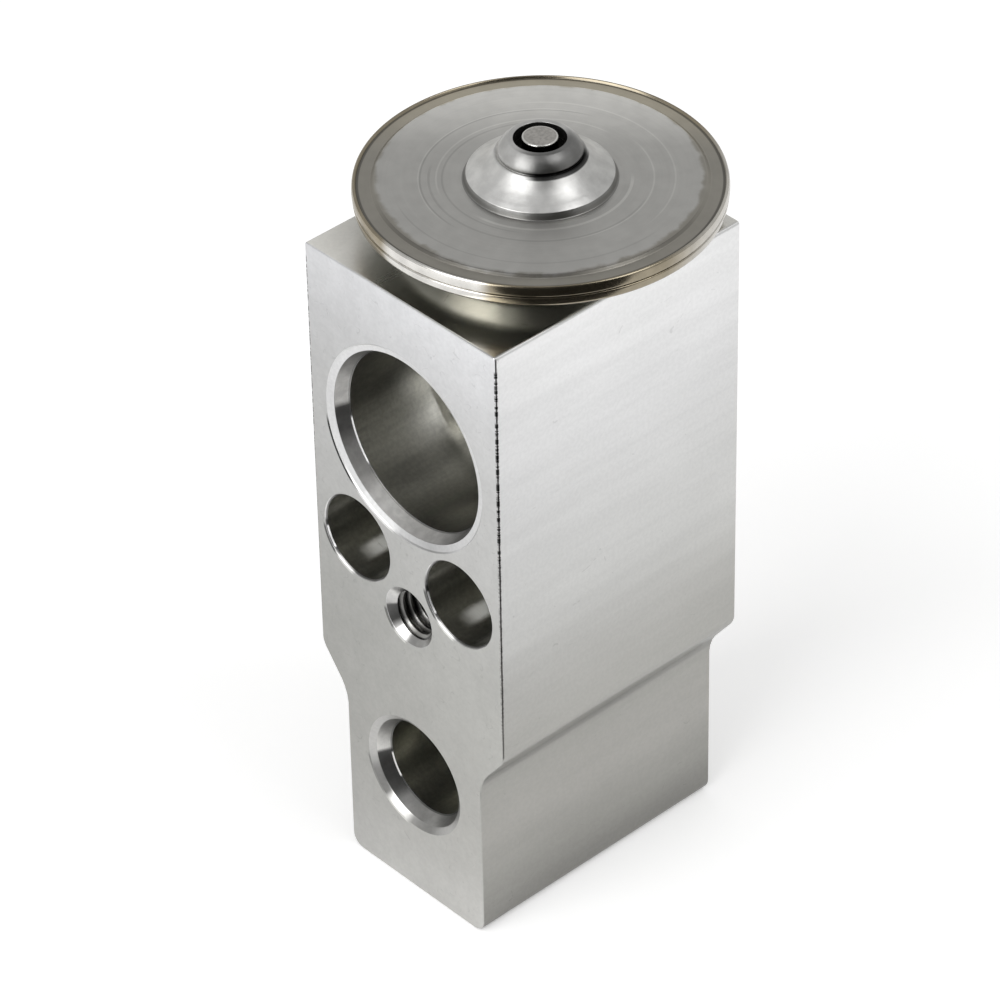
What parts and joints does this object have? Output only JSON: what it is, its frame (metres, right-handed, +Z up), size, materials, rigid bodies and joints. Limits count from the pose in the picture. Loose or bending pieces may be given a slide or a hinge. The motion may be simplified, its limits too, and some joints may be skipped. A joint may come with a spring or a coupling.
{
  "type": "thermostatic expansion valve",
  "caption": "Block-type refrigerant expansion valve: aluminium block with flanged ports and a stamped diaphragm head that drives a spring-loaded ball.",
  "frame": {"origin": "on the stem axis, at the bottom of the block", "axes": "+Z up along the stem, -Y out of the face with the liquid inlet, +X to the right facing that face"},
  "size_m": [0.0372, 0.0376, 0.0861],
  "materials": {
    "block_aluminium": "extruded sides, milled port faces, satin",
    "head_steel": "stamped stainless steel, satin, with a straw tint at the rim weld",
    "plug_steel": "turned",
    "diaphragm_steel": "rolled foil, bright",
    "plate_steel": "turned",
    "rod_aluminium": "drawn and turned",
    "pin_steel": "ground",
    "ball_steel": "polished",
    "spring_steel": "drawn wire and strip",
    "screw_brass": "turned",
    "seal_rubber": "matt moulded"
  },
  "bodies": {
    "valve_block": {"valve_body": "block_aluminium", "head_cover": "head_steel", "head_base": "head_steel", "charge_plug": "plug_steel", "diaphragm": "diaphragm_steel", "head_seal": "seal_rubber", "rod_seal": "seal_rubber", "seal_retainer": "spring_steel", "superheat_spring": "spring_steel"},
    "valve_stem": {"pressure_plate": "plate_steel", "sensing_rod": "rod_aluminium", "operating_pin": "pin_steel", "valve_ball": "ball_steel", "ball_carrier": "plate_steel", "damper_spring": "spring_steel"},
    "sealing_ring": {"screw_seal": "seal_rubber"},
    "setting_screw": {"adjusting_screw": "screw_brass"}
  },
  "joints": [
    {"name": "valve_opening", "type": "slide", "parent": "valve_block", "child": "valve_stem", "axis": [0, 0, -1], "range_m": [0, 0.0006], "stiffness_N_per_m": 5000, "springref_m": -0.003, "deforming": ["superheat_spring"]},
    {"name": "screw_feed", "type": "slide", "parent": "valve_block", "child": "sealing_ring", "axis": [0, 0, 1], "range_m": [-0.0005, 0.0005]},
    {"name": "screw_turn", "type": "hinge", "parent": "sealing_ring", "child": "setting_screw", "pos_m": [0, 0, 0.0008], "axis": [0, 0, 1], "range_deg": [-182, 182]}
  ],
  "couplings": [
    {"joint": "screw_turn", "follows": "screw_feed", "rad_per_m": 6283.2}
  ]
}
